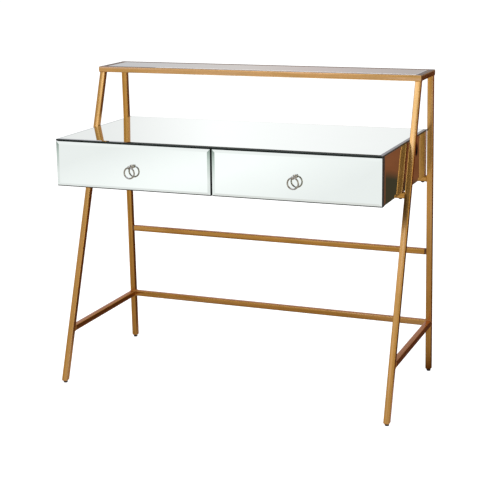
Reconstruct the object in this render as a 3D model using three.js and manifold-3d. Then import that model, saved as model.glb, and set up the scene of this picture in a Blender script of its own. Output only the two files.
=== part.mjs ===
// Mirrored two-drawer dressing table on a gold tube frame, with a raised mirror shelf over its back edge.
// Millimetres, +Z up. +X is the user's right, -Y is the front, and Z = 0 is the floor.
import * as THREE from "three";
import { ConvexGeometry } from "three/addons/geometries/ConvexGeometry.js";
import { mergeVertices } from "three/addons/utils/BufferGeometryUtils.js";
import Module from "manifold-3d";

const wasm = await Module();
wasm.setup();

// ---- Driving dimensions ----
const BOX_WIDTH = 990; // the mirrored box that holds the drawers
const BOX_DEPTH = 500;
const BOX_BOTTOM = 620.5;
const TABLE_HEIGHT = 762; // top of the table mirror
const SHELF_HEIGHT = 942; // top of the raised shelf
const SHELF_FRONT = 327; // behind the drawer fronts, as every depth here is
const SHELF_BACK = 499;
const SHELF_OVERHANG = 1.5; // past the legs' outer faces, each side
const TUBE = 18; // square frame tube
const TUBE_WALL = 1.5;
const TUBE_CORNER = 2.2;
const LEG_CLEARANCE = 2.5; // between the box and a leg's inner face
const FRONT_LEG = { floor: 13, shelf: 330 }; // depth of the leg's front face at the floor and under the shelf
const BACK_LEG = { floor: 507, shelf: 480 };
const LOW_STRETCHER_BOTTOM = 147;
const HIGH_STRETCHER_BOTTOM = 374;
const GLIDE_HEIGHT = 5.5;
const FOOT_CHAMFER = 3;
const GAP = 0.3; // between pieces that touch
const GLASS = 5; // mirror glass
const BOARD = 15; // case boards
const BACK_BOARD = 9;
const DRAWER_BOARD = 12; // drawer sides and backs
const REVEAL = 1.4; // slot between the top mirror and the drawer fronts
const FRONT_GAP = 4; // between the two drawer fronts
const FRONT_BOARD = 17.5;
const BEVEL = 9.5; // width of the ground edge on the mirrors
const BEVEL_DROP = 1.3;
const DRAWER_TRAVEL_ROOM = 27; // behind a closed drawer
const SLIDE_LENGTH = 400;
const SLIDE_ROOM = 13; // between a drawer box and the case, each side
const PULL_HEIGHT = 691;
const PULL_STANDOFF = 16; // from the drawer mirror to the ring's axis
const RING_RADIUS = 15.8;
const RING_WIRE = 2.2;
const EYE_RADIUS = 5.4;

// ---- Sizes that follow ----
const HALF_BOX = BOX_WIDTH / 2;
const LEG_INNER = HALF_BOX + LEG_CLEARANCE;
const LEG_OUTER = LEG_INNER + TUBE;
const SHELF_HALF = LEG_OUTER + SHELF_OVERHANG;
const SHELF_BOTTOM = SHELF_HEIGHT - TUBE;
const FRONT_THICKNESS = GLASS + GAP + FRONT_BOARD;
const CASE_FRONT = FRONT_THICKNESS + 0.7;
const FRONT_TOP = TABLE_HEIGHT - GLASS - REVEAL;
const CASE_TOP = TABLE_HEIGHT - GLASS - GAP;
const SIDE_OUTER = HALF_BOX - 0.5 - GLASS - GAP; // outer face of a side board
const CASE_INNER = SIDE_OUTER - BOARD;
const BAY_TOP = CASE_TOP - BOARD;
const BAY_BOTTOM = BOX_BOTTOM + BOARD;
const LEG_BOTTOM = GLIDE_HEIGHT + 0.2;

const legDepth = (leg, z) => leg.floor + ((leg.shelf - leg.floor) * z) / SHELF_BOTTOM;
// A slanting tube is longer front to back than it is wide, where it is cut level.
const legThickness = (leg) => TUBE / Math.cos(Math.atan((leg.shelf - leg.floor) / SHELF_BOTTOM));

// The origin is at the middle of the footprint, between the pulls and the heels of the back legs.
const FOREMOST = -(PULL_STANDOFF + EYE_RADIUS);
const REARMOST = legDepth(BACK_LEG, LEG_BOTTOM + FOOT_CHAMFER) + legThickness(BACK_LEG);
const table = new THREE.Group();
table.position.y = -(FOREMOST + REARMOST) / 2;

// ---- Materials ----
const FINISHES = {
  gold: { color: 0xb08443, metalness: 1, roughness: 0.35 },
  mirror: { color: 0xe8efec, metalness: 1, roughness: 0.03 },
  shelfMirror: { color: 0xc9c3cd, metalness: 1, roughness: 0.05 },
  blackBoard: { color: 0x15140f, metalness: 0, roughness: 0.6 },
  drawerWood: { color: 0xb9a27c, metalness: 0, roughness: 0.65 },
  steel: { color: 0xa9adb0, metalness: 1, roughness: 0.4 },
  nickel: { color: 0x9a9a96, metalness: 1, roughness: 0.18 },
  blackPlastic: { color: 0x0c0c0c, metalness: 0, roughness: 0.5 },
};

function addPart(name, finish, geometry, x = 0, y = 0, z = 0) {
  const mesh = new THREE.Mesh(geometry, new THREE.MeshStandardMaterial(FINISHES[finish]));
  mesh.name = name;
  mesh.position.set(x, y, z);
  table.add(mesh);
  return mesh;
}

// ---- Solids ----
const middle = ([low, high]) => (low + high) / 2;
const length = ([low, high]) => high - low;

// A board that fills the given spans, as a geometry about its own middle.
function boardGeometry(xs, ys, zs) {
  return new THREE.BoxGeometry(length(xs), length(ys), length(zs));
}

function addBoard(name, finish, xs, ys, zs) {
  return addPart(name, finish, boardGeometry(xs, ys, zs), middle(xs), middle(ys), middle(zs));
}

function toSolid(geometry) {
  const bare = geometry.clone();
  bare.deleteAttribute("normal");
  bare.deleteAttribute("uv");
  const merged = mergeVertices(bare, 1e-4);
  return new wasm.Manifold(
    new wasm.Mesh({
      numProp: 3,
      vertProperties: new Float32Array(merged.attributes.position.array),
      triVerts: new Uint32Array(merged.index.array),
    }),
  );
}

function toGeometry(solid) {
  const { vertProperties, triVerts } = solid.getMesh();
  const geometry = new THREE.BufferGeometry();
  geometry.setAttribute("position", new THREE.BufferAttribute(vertProperties, 3));
  geometry.setIndex(new THREE.BufferAttribute(triVerts, 1));
  geometry.computeVertexNormals();
  return geometry;
}

// A geometry with round holes along Z drilled in it at each (x, y), over the heights zs.
function drilled(geometry, holes, radius, zs) {
  const drill = new THREE.CylinderGeometry(radius, radius, length(zs), 24).rotateX(Math.PI / 2);
  const cut = holes.reduce(
    (solid, [x, y]) => solid.subtract(toSolid(drill.clone().translate(x, y, middle(zs)))),
    toSolid(geometry),
  );
  return toGeometry(cut);
}

// Turned to look along an axis: its own X, Y and Z are laid along the three given directions.
const ALONG = { x: [1, 0, 0], y: [0, 1, 0], z: [0, 0, 1], "-x": [-1, 0, 0], "-y": [0, -1, 0] };
function turned(geometry, ...directions) {
  const axes = directions.map((direction) => new THREE.Vector3(...ALONG[direction]));
  return geometry.applyMatrix4(new THREE.Matrix4().makeBasis(...axes));
}

// A solid of revolution about Z, from [radius, z] points that start and end on the axis.
function spun(profile, segments) {
  const points = profile.map(([radius, z]) => new THREE.Vector2(radius, z));
  return new THREE.LatheGeometry(points, segments).rotateX(Math.PI / 2);
}

// A closed skin through rings of equally many points; the last ring joins back to the first.
function loopSkin(rings) {
  const count = rings[0].length;
  const positions = rings.flat().flatMap((point) => point.toArray());
  const triangles = [];
  for (let ring = 0; ring < rings.length; ring++) {
    const here = ring * count;
    const there = ((ring + 1) % rings.length) * count;
    for (let i = 0; i < count; i++) {
      const next = (i + 1) % count;
      triangles.push(here + i, here + next, there + next, here + i, there + next, there + i);
    }
  }
  const geometry = new THREE.BufferGeometry();
  geometry.setAttribute("position", new THREE.Float32BufferAttribute(positions, 3));
  geometry.setIndex(triangles);
  if (signedVolume(geometry) < 0) geometry.setIndex(triangles.reverse());
  geometry.computeVertexNormals();
  return geometry;
}

function signedVolume(geometry) {
  const { position } = geometry.attributes;
  const corners = [0, 1, 2].map(() => new THREE.Vector3());
  let sum = 0;
  for (let i = 0; i < geometry.index.count; i += 3) {
    corners.forEach((corner, k) => corner.fromBufferAttribute(position, geometry.index.getX(i + k)));
    sum += corners[0].dot(corners[1].cross(corners[2]));
  }
  return sum / 6;
}

// Points round a rectangle with rounded corners, each put in space by `place(u, v)`.
const CORNER_STEPS = 3;
function roundedRing(width, height, radius, place) {
  const points = [];
  for (let corner = 0; corner < 4; corner++) {
    const [su, sv] = [[1, 1], [-1, 1], [-1, -1], [1, -1]][corner];
    for (let step = 0; step <= CORNER_STEPS; step++) {
      const angle = ((corner + step / CORNER_STEPS) * Math.PI) / 2;
      const u = su * (width / 2 - radius) + radius * Math.cos(angle);
      const v = sv * (height / 2 - radius) + radius * Math.sin(angle);
      points.push(place(u, v));
    }
  }
  return points;
}

// A hollow square tube: `start` and `end` place a section point (u, v) at either end.
function tubeGeometry(width, height, start, end) {
  const inner = TUBE_CORNER - TUBE_WALL / 2;
  const outside = (place) => roundedRing(width, height, TUBE_CORNER, place);
  const inside = (place) => roundedRing(width - 2 * TUBE_WALL, height - 2 * TUBE_WALL, inner, place);
  return loopSkin([outside(start), outside(end), inside(end), inside(start)]);
}

// A mirror lying in XY with its face up and its edge ground to a bevel, its back at Z = 0.
function mirrorGeometry(width, height) {
  const corners = [];
  const addRectangle = (inset, z) => {
    for (const sx of [-1, 1])
      for (const sy of [-1, 1])
        corners.push(new THREE.Vector3(sx * (width / 2 - inset), sy * (height / 2 - inset), z));
  };
  addRectangle(0, 0);
  addRectangle(0, GLASS - BEVEL_DROP);
  addRectangle(BEVEL, GLASS);
  return new ConvexGeometry(corners);
}

// ---- Frame ----
const SIDES = [["left", -1], ["right", 1]];
const CAP = 8; // solid cap in the foot of a leg, with the glide's bore through it
const BORE = 3.4;

// A leg is cut level at its top, and closed at its foot by a chamfered cap.
function legGeometry(leg) {
  const thick = legThickness(leg);
  const at = (z) => (u, v) => new THREE.Vector3(u, legDepth(leg, z) + thick / 2 + v, z);
  const outside = (inset, z) => {
    const radius = Math.max(TUBE_CORNER - inset / 2, 0.6);
    return roundedRing(TUBE - 2 * inset, thick - 2 * inset, radius, at(z));
  };
  const inside = (z) => {
    const radius = TUBE_CORNER - TUBE_WALL / 2;
    return roundedRing(TUBE - 2 * TUBE_WALL, thick - 2 * TUBE_WALL, radius, at(z));
  };
  const boreDepth = legDepth(leg, LEG_BOTTOM + CAP / 2) + thick / 2;
  const bore = (z) => {
    const upright = (u, v) => new THREE.Vector3(u, boreDepth + v, z);
    return roundedRing(2 * BORE, 2 * BORE, BORE - 0.01, upright);
  };
  const top = SHELF_BOTTOM - GAP;
  return loopSkin([
    bore(LEG_BOTTOM),
    outside(FOOT_CHAMFER, LEG_BOTTOM),
    outside(0, LEG_BOTTOM + FOOT_CHAMFER),
    outside(0, top),
    inside(top),
    inside(LEG_BOTTOM + CAP),
    bore(LEG_BOTTOM + CAP),
  ]);
}

// A black glide: a low tapered foot with a stem up into the leg's cap.
function glideGeometry() {
  const stem = BORE - 0.5;
  const stemTop = LEG_BOTTOM + CAP - 1;
  const foot = [[0, 0], [5.2, 0], [6.2, 1.2], [6.2, GLIDE_HEIGHT], [stem, GLIDE_HEIGHT]];
  return spun([...foot, [stem, stemTop], [0, stemTop]], 24);
}

for (const [side, sign] of SIDES) {
  for (const [end, leg] of [["front", FRONT_LEG], ["back", BACK_LEG]]) {
    const x = sign * (LEG_INNER + TUBE / 2);
    addPart(`${end}_leg_${side}`, "gold", legGeometry(leg), x);
    const footDepth = legDepth(leg, LEG_BOTTOM + CAP / 2) + legThickness(leg) / 2;
    addPart(`glide_${end}_${side}`, "blackPlastic", glideGeometry(), x, footDepth);
  }
  const back = (z) => legDepth(BACK_LEG, z) - GAP;
  const front = (z) => legDepth(FRONT_LEG, z) + legThickness(FRONT_LEG) + GAP;
  const low = LOW_STRETCHER_BOTTOM + TUBE / 2;
  const sideStretcher = tubeGeometry(
    TUBE,
    TUBE,
    (u, v) => new THREE.Vector3(u, front(low + v), low + v),
    (u, v) => new THREE.Vector3(u, back(low + v), low + v),
  );
  addPart(`side_stretcher_${side}`, "gold", sideStretcher, sign * (LEG_INNER + TUBE / 2));
}

// A tube across the table, from one leg to its twin, whose front face lies flush with the legs'.
function crossTube(leg, bottom, ends = GAP) {
  const depth = legDepth(leg, bottom + TUBE / 2) + legThickness(leg) / 2;
  const reach = LEG_INNER - ends;
  const geometry = tubeGeometry(
    TUBE,
    TUBE,
    (u, v) => new THREE.Vector3(-reach, u, v),
    (u, v) => new THREE.Vector3(reach, u, v),
  );
  return { geometry, depth, height: bottom + TUBE / 2 };
}

const lowStretcher = crossTube(BACK_LEG, LOW_STRETCHER_BOTTOM);
addPart("back_stretcher_low", "gold", lowStretcher.geometry, 0, lowStretcher.depth, lowStretcher.height);

// The high stretcher is the removable one: it fits over a short plug on each back leg.
const PLUG = { width: TUBE - 1.4, length: 5 };
const highStretcher = crossTube(BACK_LEG, HIGH_STRETCHER_BOTTOM, PLUG.length + GAP);
addPart("back_stretcher_high", "gold", highStretcher.geometry, 0, highStretcher.depth, highStretcher.height);
for (const [side, sign] of SIDES) {
  const spigot = TUBE - 2 * TUBE_WALL - 1;
  const shoulder = [LEG_INNER - GAP - PLUG.length, LEG_INNER - GAP];
  const ring = (size, x) => roundedRing(size, size, 2, (u, v) => new THREE.Vector3(sign * x, u, v));
  const plug = new ConvexGeometry([...ring(PLUG.width, shoulder[0] + GAP), ...ring(PLUG.width, shoulder[1])]);
  const tongue = new ConvexGeometry([...ring(spigot, shoulder[0] - 20), ...ring(spigot, shoulder[1] - 1)]);
  const geometry = toGeometry(toSolid(plug).add(toSolid(tongue)));
  addPart(`stretcher_plug_${side}`, "steel", geometry, 0, highStretcher.depth, highStretcher.height);
}

// ---- Rails under the box, and the screws through them into its side boards ----
const RAIL_BOTTOM = BOX_BOTTOM - GAP - TUBE;
const SCREW = { x: CASE_INNER + BOARD / 2 + 3, head: 5.5, shank: 2.8, hole: 3.3, grip: 12 };
const screwHoles = SIDES.map(([, sign]) => sign * SCREW.x);
const screwDepths = {};
for (const [end, leg] of [["front", FRONT_LEG], ["back", BACK_LEG]]) {
  const rail = crossTube(leg, RAIL_BOTTOM);
  screwDepths[end] = Math.min(rail.depth, BOX_DEPTH - SCREW.head);
  const holes = screwHoles.map((x) => [x, screwDepths[end] - rail.depth]);
  const geometry = drilled(rail.geometry, holes, SCREW.hole, [-TUBE, TUBE]);
  addPart(`box_rail_${end}`, "gold", geometry, 0, rail.depth, rail.height);
}

function boxScrewGeometry() {
  const top = TUBE + SCREW.grip;
  const head = [[0, -3.4], [3.2, -3.1], [SCREW.head - 0.4, -1.9], [SCREW.head, -GAP], [SCREW.shank, -GAP]];
  return spun([...head, [SCREW.shank, top - 2], [0, top]], 20);
}

for (const [side, sign] of SIDES)
  for (const end of ["front", "back"]) {
    const name = `box_screw_${end}_${side}`;
    addPart(name, "blackPlastic", boxScrewGeometry(), sign * SCREW.x, screwDepths[end], RAIL_BOTTOM);
  }

// ---- Box ----
const mirrored = (sign, [low, high]) => (sign > 0 ? [low, high] : [-high, -low]);
const INSIDE = [-(CASE_INNER - GAP), CASE_INNER - GAP];
const CASE_DEPTHS = [CASE_FRONT, BOX_DEPTH];
const BAY_HEIGHTS = [BAY_BOTTOM + GAP, BAY_TOP - GAP];
const BACK_INNER = BOX_DEPTH - BACK_BOARD;

addPart("top_mirror", "mirror", mirrorGeometry(BOX_WIDTH, BOX_DEPTH), 0, BOX_DEPTH / 2, TABLE_HEIGHT - GLASS);
addBoard("top_board", "blackBoard", [-SIDE_OUTER, SIDE_OUTER], CASE_DEPTHS, [BAY_TOP, CASE_TOP]);
addBoard("bottom_board", "blackBoard", INSIDE, CASE_DEPTHS, [BOX_BOTTOM, BAY_BOTTOM]);
addBoard("back_board", "blackBoard", INSIDE, [BACK_INNER, BOX_DEPTH], BAY_HEIGHTS);
addBoard("divider", "blackBoard", [-BOARD / 2, BOARD / 2], [CASE_FRONT, BACK_INNER - GAP], BAY_HEIGHTS);

for (const [side, sign] of SIDES) {
  const xs = mirrored(sign, [CASE_INNER, SIDE_OUTER]);
  const zs = [BOX_BOTTOM, BAY_TOP - GAP];
  const board = boardGeometry(xs, CASE_DEPTHS, zs);
  const holeX = sign * SCREW.x - middle(xs);
  const holes = Object.values(screwDepths).map((depth) => [holeX, depth - middle(CASE_DEPTHS)]);
  const bottom = -length(zs) / 2;
  const geometry = drilled(board, holes, SCREW.hole, [bottom - 1, bottom + SCREW.grip + 1]);
  addPart(`side_board_${side}`, "blackBoard", geometry, middle(xs), middle(CASE_DEPTHS), middle(zs));

  const mirror = mirrorGeometry(length(CASE_DEPTHS), CASE_TOP - BOX_BOTTOM);
  const facing = sign > 0 ? ["y", "z", "x"] : ["-y", "z", "-x"];
  const x = sign * (SIDE_OUTER + GAP);
  const z = (CASE_TOP + BOX_BOTTOM) / 2;
  addPart(`side_mirror_${side}`, "mirror", turned(mirror, ...facing), x, middle(CASE_DEPTHS), z);
}

// ---- Drawers ----
const STUD = 2.4;
const FRONT_SPAN = [FRONT_GAP / 2, HALF_BOX];
const FRONT_HEIGHTS = [BOX_BOTTOM, FRONT_TOP];
const BAY_SPAN = [BOARD / 2, CASE_INNER];
const DRAWER_SPAN = [BAY_SPAN[0] + SLIDE_ROOM, BAY_SPAN[1] - SLIDE_ROOM];
const DRAWER_DEPTHS = [FRONT_THICKNESS + GAP, BACK_INNER - DRAWER_TRAVEL_ROOM];
const DRAWER_HEIGHTS = [BAY_BOTTOM + 6, BAY_TOP - 16];
const DRAWER_BOTTOM = { lift: 6, thickness: 5 };
const SLIDE = { depth: 9, wall: 1.2, caseHeight: 45, drawerHeight: 33 };

// A steel channel, open towards +X and centred on the origin.
function channelGeometry(height) {
  const { depth, wall } = SLIDE;
  const outline = [
    [0, -height / 2], [depth, -height / 2], [depth, wall - height / 2], [wall, wall - height / 2],
    [wall, height / 2 - wall], [depth, height / 2 - wall], [depth, height / 2], [0, height / 2],
  ];
  const shape = new THREE.Shape(outline.map(([x, y]) => new THREE.Vector2(x, y)));
  const bar = new THREE.ExtrudeGeometry(shape, { depth: SLIDE_LENGTH, bevelEnabled: false });
  return bar.translate(0, 0, -SLIDE_LENGTH / 2);
}

function addSlide(name, height, x, opening) {
  const facing = opening > 0 ? ["x", "z", "-y"] : ["-x", "z", "y"];
  const y = CASE_FRONT + 3 + SLIDE_LENGTH / 2;
  addPart(name, "steel", turned(channelGeometry(height), ...facing), x, y, middle(DRAWER_HEIGHTS));
}

// A turned post with an eye at its end, drilled crosswise for the ring, and a stud through the drawer front.
function pullPostGeometry() {
  const neck = 4.5;
  const post = spun(
    [
      [0, -21], [STUD, -20], [STUD, GAP], [6.5, GAP], [6.5, 1.2], [5.6, 2.4], [neck, 3],
      [neck, PULL_STANDOFF - 4.2], [0, PULL_STANDOFF - 4.2],
    ],
    24,
  );
  const slab = new THREE.BoxGeometry(7.6, 40, 40).translate(0, 0, PULL_STANDOFF);
  const ball = new THREE.SphereGeometry(EYE_RADIUS, 24, 16).rotateX(Math.PI / 2);
  ball.translate(0, 0, PULL_STANDOFF);
  const eye = toSolid(ball).intersect(toSolid(slab));
  const hole = new THREE.CylinderGeometry(3, 3, 30, 24).rotateZ(Math.PI / 2);
  hole.translate(0, 0, PULL_STANDOFF);
  return toGeometry(toSolid(post).add(eye).subtract(toSolid(hole)));
}

for (const [side, sign] of SIDES) {
  const drawer = `drawer_${side}`;
  const frontXs = mirrored(sign, FRONT_SPAN);
  const x = middle(frontXs);

  const pullHole = [[0, PULL_HEIGHT - middle(FRONT_HEIGHTS)]];
  const upright = (geometry) => {
    const bored = drilled(geometry, pullHole, STUD + 0.4, [-40, 40]);
    return turned(bored, "x", "z", "-y");
  };
  const mirror = upright(mirrorGeometry(length(frontXs), length(FRONT_HEIGHTS)));
  addPart(`${drawer}_mirror`, "mirror", mirror, x, GLASS, middle(FRONT_HEIGHTS));
  const board = upright(new THREE.BoxGeometry(length(frontXs), length(FRONT_HEIGHTS), FRONT_BOARD));
  const boardMiddle = FRONT_THICKNESS - FRONT_BOARD / 2;
  addPart(`${drawer}_front`, "blackBoard", board, x, boardMiddle, middle(FRONT_HEIGHTS));

  const [inner, outer] = DRAWER_SPAN;
  const [front, back] = DRAWER_DEPTHS;
  const between = mirrored(sign, [inner + DRAWER_BOARD + GAP, outer - DRAWER_BOARD - GAP]);
  const floor = DRAWER_HEIGHTS[0] + DRAWER_BOTTOM.lift;
  const innerXs = mirrored(sign, [inner, inner + DRAWER_BOARD]);
  const outerXs = mirrored(sign, [outer - DRAWER_BOARD, outer]);
  addBoard(`${drawer}_side_inner`, "drawerWood", innerXs, DRAWER_DEPTHS, DRAWER_HEIGHTS);
  addBoard(`${drawer}_side_outer`, "drawerWood", outerXs, DRAWER_DEPTHS, DRAWER_HEIGHTS);
  addBoard(`${drawer}_back`, "drawerWood", between, [back - DRAWER_BOARD, back], DRAWER_HEIGHTS);
  const bottomDepths = [front, back - DRAWER_BOARD - GAP];
  addBoard(`${drawer}_bottom`, "drawerWood", between, bottomDepths, [floor, floor + DRAWER_BOTTOM.thickness]);

  // Each slide is a case channel and a smaller drawer channel that face each other.
  const places = [["inner", BAY_SPAN[0], 1], ["outer", BAY_SPAN[1], -1]];
  for (const [where, wall, inward] of places) {
    const caseFace = sign * (wall + inward * GAP);
    const drawerFace = sign * (wall + inward * (SLIDE_ROOM - GAP));
    addSlide(`slide_case_${side}_${where}`, SLIDE.caseHeight, caseFace, sign * inward);
    addSlide(`slide_drawer_${side}_${where}`, SLIDE.drawerHeight, drawerFace, -sign * inward);
  }

  addPart(`pull_post_${side}`, "nickel", turned(pullPostGeometry(), "x", "z", "-y"), x, 0, PULL_HEIGHT);
  const ring = new THREE.TorusGeometry(RING_RADIUS, RING_WIRE, 12, 40).rotateX(Math.PI / 2);
  addPart(`pull_ring_${side}`, "nickel", ring, x, -PULL_STANDOFF, PULL_HEIGHT - RING_RADIUS);
}

// ---- Raised shelf: a mitred tube frame round a mirror on its board ----
const MITRE_GAP = 0.25;
const SHELF_MIRROR_JOINT = 1.6;
const SHELF_MIRROR_DROP = 0.6;
const SHELF_BOARD = 9;
const shelfMiddle = SHELF_BOTTOM + TUBE / 2;

for (const [end, depth, inward] of [["front", SHELF_FRONT, 1], ["back", SHELF_BACK, -1]]) {
  const centre = depth + (inward * TUBE) / 2;
  const reach = (u) => SHELF_HALF - (TUBE / 2 + inward * u) - MITRE_GAP;
  const rail = tubeGeometry(
    TUBE,
    TUBE,
    (u, v) => new THREE.Vector3(-reach(u), u, v),
    (u, v) => new THREE.Vector3(reach(u), u, v),
  );
  addPart(`shelf_rail_${end}`, "gold", rail, 0, centre, shelfMiddle);
}
for (const [side, sign] of SIDES) {
  const inset = (u) => TUBE / 2 - sign * u + MITRE_GAP;
  const rail = tubeGeometry(
    TUBE,
    TUBE,
    (u, v) => new THREE.Vector3(u, SHELF_FRONT + inset(u), v),
    (u, v) => new THREE.Vector3(u, SHELF_BACK - inset(u), v),
  );
  addPart(`shelf_rail_${side}`, "gold", rail, sign * (SHELF_HALF - TUBE / 2), 0, shelfMiddle);
}

function addShelfPanel(name, finish, joint, zs) {
  const half = SHELF_HALF - TUBE - joint;
  addBoard(name, finish, [-half, half], [SHELF_FRONT + TUBE + joint, SHELF_BACK - TUBE - joint], zs);
}
const shelfMirrorTop = SHELF_HEIGHT - SHELF_MIRROR_DROP;
const shelfBoardTop = shelfMirrorTop - GLASS - GAP;
addShelfPanel("shelf_mirror", "shelfMirror", SHELF_MIRROR_JOINT, [shelfMirrorTop - GLASS, shelfMirrorTop]);
addShelfPanel("shelf_board", "blackBoard", GAP, [shelfBoardTop - SHELF_BOARD, shelfBoardTop]);

export default table;
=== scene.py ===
"""Mirrored two-drawer dressing table on a gold tube frame: its looks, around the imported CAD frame.

Metres, +Z up. -Y is the front and +X the user's right. Z = 0 is the floor.
"""
import math

import bmesh
import bpy
from mathutils import Matrix, Vector


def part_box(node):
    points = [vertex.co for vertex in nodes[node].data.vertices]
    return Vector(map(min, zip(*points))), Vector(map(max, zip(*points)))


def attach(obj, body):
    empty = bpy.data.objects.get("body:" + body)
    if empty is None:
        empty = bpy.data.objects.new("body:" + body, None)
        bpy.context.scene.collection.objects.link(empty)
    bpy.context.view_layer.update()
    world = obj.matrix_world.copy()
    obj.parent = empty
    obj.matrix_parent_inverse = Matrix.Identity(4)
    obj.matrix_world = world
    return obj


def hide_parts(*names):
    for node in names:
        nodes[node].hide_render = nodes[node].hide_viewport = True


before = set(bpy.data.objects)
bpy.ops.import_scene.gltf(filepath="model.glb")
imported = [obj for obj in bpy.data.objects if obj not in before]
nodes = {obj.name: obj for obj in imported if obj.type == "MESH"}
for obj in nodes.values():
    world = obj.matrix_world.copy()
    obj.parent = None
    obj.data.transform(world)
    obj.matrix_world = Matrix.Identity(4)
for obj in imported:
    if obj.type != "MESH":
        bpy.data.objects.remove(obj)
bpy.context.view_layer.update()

MM = 0.001
X, Y, Z = Vector((1, 0, 0)), Vector((0, 1, 0)), Vector((0, 0, 1))
SIDES = ("left", "right")
SHARP = 40  # degrees between two faces, above which their shared edge isn't smoothed

# ---- Camera ----
# Fitted to the table's edges and corners in the photograph. Angles are in degrees.
CAMERA_PLACE = Vector((1.39985, -3.56105, 1.35611))
CAMERA_YAW = 23.192
CAMERA_PITCH = -10.405
CAMERA_ROLL = -0.954
CAMERA_SENSOR = 36
CAMERA_LENS = 95.57
CAMERA_SHIFT = (0.0816, -0.1531)

# ---- Frame tube ----
# TUBE and FOOT_CHAMFER are the CAD's measures, repeated.
TUBE = 18 * MM
TUBE_CORNER = 2.2 * MM
TUBE_CROWN = 0.25 * MM
CORNER_STEPS = 6
FACE_STEPS = 6
WELD = 1.0 * MM
WELD_RIPPLE = 0.22
WELD_RIPPLE_TURN = 2.4
WELD_STEPS = 12
FOOT_CHAMFER = 3 * MM
HEEL_TUCK = 0.1 * MM  # how far the feet are moved forward, to keep the back heels in the CAD box
LEVEL_SLACK = 0.1 * MM

# ---- Mirrors ----
BEVEL = 9.5 * MM
BEVEL_DROP = 0.7 * MM
ARRIS = 1.0 * MM
DRAWER_ARRIS = 3.4 * MM
BEVEL_SHARP = 4  # degrees: less than a bevel's slope, so that its edges stay crisp

# ---- Pulls ----
# RING_WIRE, PULL_STANDOFF and EYE_RADIUS are the CAD's measures, repeated.
RING_WIRE = 2.2 * MM
PULL_STANDOFF = 16 * MM
EYE_RADIUS = 5.4 * MM
EYE_HOLE = 3 * MM
EYE_HALF_WIDTH = 3.8 * MM
EYE_EASE = 0.4 * MM
EYE_STEPS = 12
EYE_TURNS = 48
WIRE_STEPS = 24
RING_TURNS = 96
LATHE_TURNS = 40


def make_camera():
    data = bpy.data.cameras.new("camera")
    data.sensor_width = CAMERA_SENSOR
    data.lens = CAMERA_LENS
    data.shift_x, data.shift_y = CAMERA_SHIFT
    camera = bpy.data.objects.new("camera", data)
    turn = Matrix.Rotation(math.radians(CAMERA_YAW), 4, "Z")
    tip = Matrix.Rotation(math.radians(90 + CAMERA_PITCH), 4, "X")
    roll = Matrix.Rotation(math.radians(CAMERA_ROLL), 4, "Z")
    camera.matrix_world = Matrix.Translation(CAMERA_PLACE) @ turn @ tip @ roll
    bpy.context.scene.collection.objects.link(camera)
    bpy.context.scene.camera = camera


# ---- Shader nodes ----
def add_node(tree, kind, inputs=None, **settings):
    """A new node, with each input set to a value or linked from a socket."""
    made = tree.nodes.new(kind)
    for key, value in settings.items():
        setattr(made, key, value)
    for key, value in (inputs or {}).items():
        if isinstance(value, bpy.types.NodeSocket):
            tree.links.new(value, made.inputs[key])
        else:
            made.inputs[key].default_value = value
    return made


def new_material(name):
    """A material with only its output, and its node tree."""
    material = bpy.data.materials.new(name)
    material.use_nodes = True
    tree = material.node_tree
    tree.nodes.clear()
    return material, tree


def surface(tree, **inputs):
    """The Principled shader and the output of a material. Underscores stand for spaces."""
    named = {key.replace("_", " "): value for key, value in inputs.items()}
    shader = add_node(tree, "ShaderNodeBsdfPrincipled", named)
    add_node(tree, "ShaderNodeOutputMaterial", {"Surface": shader.outputs["BSDF"]})


def piece_coords(tree, stretch, shifted=True):
    """A piece's own coordinates scaled by `stretch` per metre, shifted for each piece."""
    place = add_node(tree, "ShaderNodeTexCoord").outputs["Object"]
    if shifted:
        info = add_node(tree, "ShaderNodeObjectInfo")
        spread = add_node(
            tree,
            "ShaderNodeVectorMath",
            {0: (7.3, 3.1, 5.7), "Scale": info.outputs["Random"]},
            operation="SCALE",
        )
        place = add_node(
            tree,
            "ShaderNodeVectorMath",
            {0: place, 1: spread.outputs["Vector"]},
            operation="ADD",
        ).outputs["Vector"]
    mapping = add_node(tree, "ShaderNodeMapping", {"Vector": place, "Scale": stretch})
    return mapping.outputs["Vector"]


def noise(tree, coords, detail, roughness=0.5, distortion=0.0):
    inputs = {
        "Vector": coords,
        "Scale": 1.0,
        "Detail": detail,
        "Roughness": roughness,
        "Distortion": distortion,
    }
    return add_node(tree, "ShaderNodeTexNoise", inputs).outputs["Fac"]


def ramp(tree, factor, stops):
    """A colour ramp through (position, colour) stops, where a colour is a grey or an RGB triple."""
    made = add_node(tree, "ShaderNodeValToRGB", {"Fac": factor})
    elements = made.color_ramp.elements
    while len(elements) < len(stops):
        elements.new(1.0)
    for element, (position, colour) in zip(elements, stops):
        element.position = position
        rgb = (colour,) * 3 if isinstance(colour, (int, float)) else colour
        element.color = (*rgb, 1)
    return made.outputs["Color"]


def mix(tree, factor, first, second, blend="MIX"):
    """Two colours mixed. A Mix node's sockets 0, 6 and 7 are its factor and its colours."""
    made = add_node(tree, "ShaderNodeMix", data_type="RGBA", blend_type=blend)
    sockets = (made.inputs[0], made.inputs[6], made.inputs[7])
    for socket, value in zip(sockets, (factor, first, second)):
        if isinstance(value, bpy.types.NodeSocket):
            tree.links.new(value, socket)
        else:
            socket.default_value = value if isinstance(value, (int, float)) else (*value, 1)
    return made.outputs[2]


def map_range(tree, value, low, high):
    """A value carried to 0 at `low` and 1 at `high`."""
    inputs = {"Value": value, "From Min": low, "From Max": high}
    return add_node(tree, "ShaderNodeMapRange", inputs).outputs["Result"]


def bump(tree, height, distance, strength):
    inputs = {"Height": height, "Distance": distance, "Strength": strength}
    return add_node(tree, "ShaderNodeBump", inputs).outputs["Normal"]


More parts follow.
